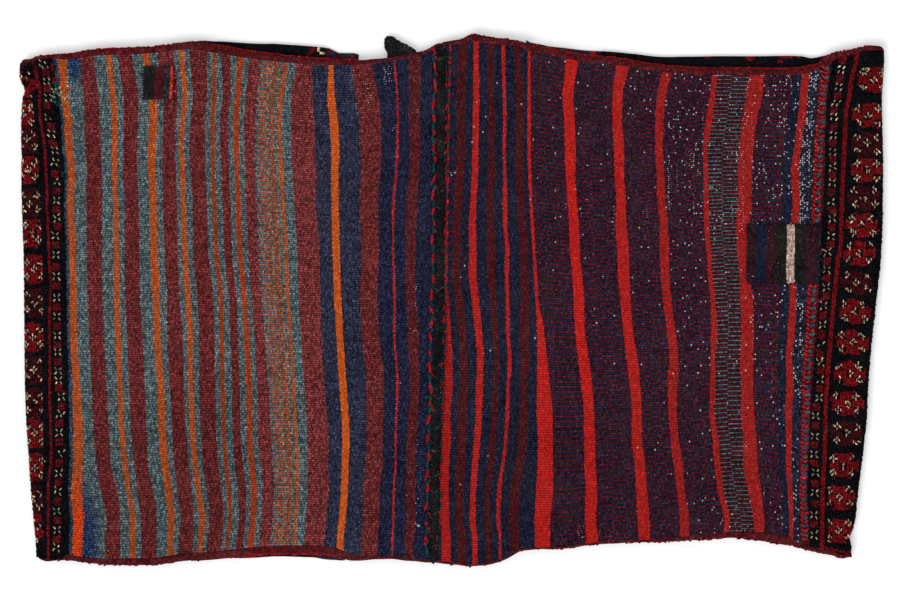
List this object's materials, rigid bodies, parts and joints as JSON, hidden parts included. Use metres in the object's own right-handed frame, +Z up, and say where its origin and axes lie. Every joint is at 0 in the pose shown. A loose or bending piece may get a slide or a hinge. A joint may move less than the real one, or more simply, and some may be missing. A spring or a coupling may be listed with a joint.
{
  "type": "double saddle bag",
  "caption": "Flat double saddle bag of woven wool: two pouches with knotted-pile fronts, a striped flatwoven back, a goat-hair centre seam and mended patches.",
  "frame": {"origin": "centre of the bounding box's base, which is the underside of the two pile fronts", "axes": "+X runs along the bag from the striped pouch to the banded pouch, +Y across it to the far side, +Z up out of the flatwoven back"},
  "size_m": [1.219, 0.7496, 0.0219],
  "materials": {
    "striped_weave": "matt wool",
    "banded_weave": "matt wool",
    "maroon_wool": "matt wool",
    "scarlet_wool": "matt wool",
    "black_goat_hair": "matt hair",
    "red_green_chain": "matt wool",
    "patch_cloth": "matt wool"
  },
  "bodies": {
    "root": {"left_bag_weave": "striped_weave", "right_bag_weave": "banded_weave", "left_upper_binding": "maroon_wool", "left_lower_binding": "maroon_wool", "right_upper_binding": "maroon_wool", "right_lower_binding": "maroon_wool", "left_upper_front_edging": "scarlet_wool", "left_lower_front_edging": "scarlet_wool", "right_upper_front_edging": "scarlet_wool", "right_lower_front_edging": "scarlet_wool", "centre_seam_ridge": "black_goat_hair", "left_seam_chain": "red_green_chain", "right_seam_chain": "red_green_chain", "small_patch": "patch_cloth", "large_patch": "patch_cloth", "upper_tie_tab": "black_goat_hair", "left_closure_loop_1": "black_goat_hair", "right_closure_loop_1": "black_goat_hair", "left_closure_loop_2": "black_goat_hair", "right_closure_loop_2": "black_goat_hair", "left_closure_loop_3": "black_goat_hair", "right_closure_loop_3": "black_goat_hair", "left_closure_loop_4": "black_goat_hair", "right_closure_loop_4": "black_goat_hair", "left_closure_loop_5": "black_goat_hair", "right_closure_loop_5": "black_goat_hair", "left_closure_loop_6": "black_goat_hair", "right_closure_loop_6": "black_goat_hair", "left_closure_loop_7": "black_goat_hair", "right_closure_loop_7": "black_goat_hair"}
  },
  "joints": []
}
